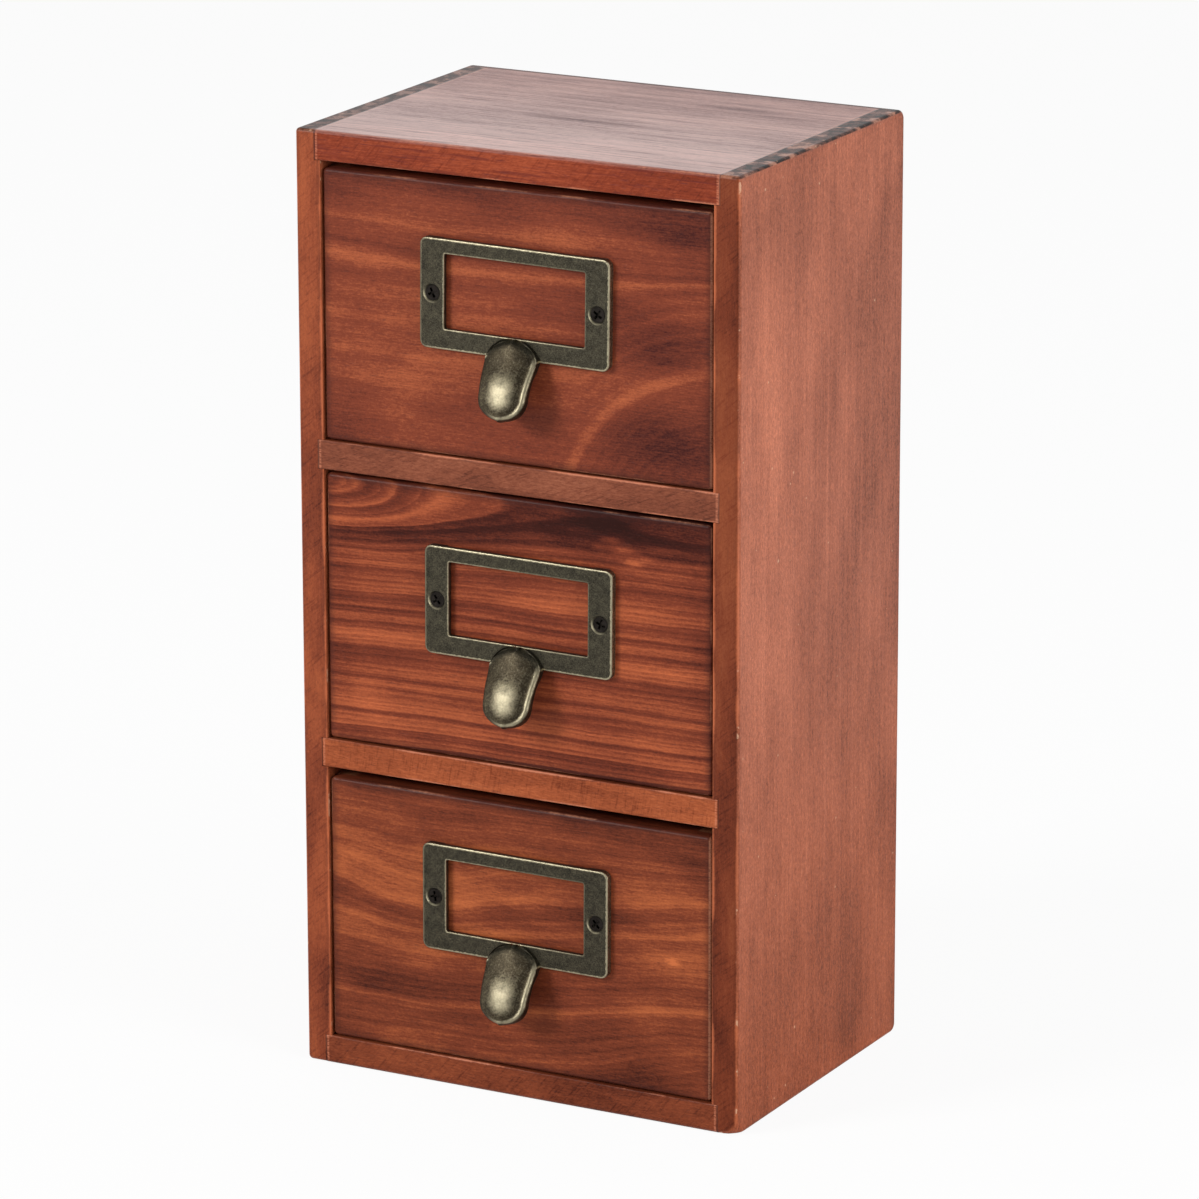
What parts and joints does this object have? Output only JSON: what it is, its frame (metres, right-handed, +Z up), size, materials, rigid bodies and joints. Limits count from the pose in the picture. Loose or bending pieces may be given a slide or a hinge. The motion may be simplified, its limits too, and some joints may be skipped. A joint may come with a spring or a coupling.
{
  "type": "tabletop drawer cabinet",
  "caption": "Upright tabletop wooden cabinet with stacked sliding drawers, each front carrying a cast label-frame pull with a curved finger tongue.",
  "frame": {"origin": "centre of the carcass footprint, on the surface it stands on", "axes": "+Z up, drawer fronts face -Y, +X to the right as seen from the front"},
  "size_m": [0.15, 0.1223, 0.296],
  "materials": {
    "reddish_hardwood": "satin lacquer over reddish-brown figured hardwood",
    "pale_box_wood": "bare planed wood",
    "thin_plywood": "bare thin board",
    "antique_bronze": "dark antique bronze patina, worn bright on the edges",
    "blackened_screws": "blackened steel",
    "steel_pins": "plain wire nail"
  },
  "bodies": {
    "cabinet": {"side_panel_left": "reddish_hardwood", "side_panel_right": "reddish_hardwood", "top_panel": "reddish_hardwood", "bottom_panel": "reddish_hardwood", "shelf_upper": "reddish_hardwood", "shelf_lower": "reddish_hardwood", "back_panel": "thin_plywood", "back_panel_pins": "steel_pins"},
    "drawer_bottom": {"drawer_bottom_front": "reddish_hardwood", "drawer_bottom_side_left": "pale_box_wood", "drawer_bottom_side_right": "pale_box_wood", "drawer_bottom_back": "pale_box_wood", "drawer_bottom_floor": "thin_plywood", "drawer_bottom_pins": "steel_pins", "drawer_bottom_label_pull": "antique_bronze", "drawer_bottom_pull_screws": "blackened_screws"},
    "drawer_middle": {"drawer_middle_front": "reddish_hardwood", "drawer_middle_side_left": "pale_box_wood", "drawer_middle_side_right": "pale_box_wood", "drawer_middle_back": "pale_box_wood", "drawer_middle_floor": "thin_plywood", "drawer_middle_pins": "steel_pins", "drawer_middle_label_pull": "antique_bronze", "drawer_middle_pull_screws": "blackened_screws"},
    "drawer_top": {"drawer_top_front": "reddish_hardwood", "drawer_top_side_left": "pale_box_wood", "drawer_top_side_right": "pale_box_wood", "drawer_top_back": "pale_box_wood", "drawer_top_floor": "thin_plywood", "drawer_top_pins": "steel_pins", "drawer_top_label_pull": "antique_bronze", "drawer_top_pull_screws": "blackened_screws"}
  },
  "joints": [
    {"name": "drawer_bottom_slide", "type": "slide", "parent": "cabinet", "child": "drawer_bottom", "axis": [0, -1, 0], "range_m": [0, 0.08]},
    {"name": "drawer_middle_slide", "type": "slide", "parent": "cabinet", "child": "drawer_middle", "axis": [0, -1, 0], "range_m": [0, 0.08]},
    {"name": "drawer_top_slide", "type": "slide", "parent": "cabinet", "child": "drawer_top", "axis": [0, -1, 0], "range_m": [0, 0.08]}
  ]
}
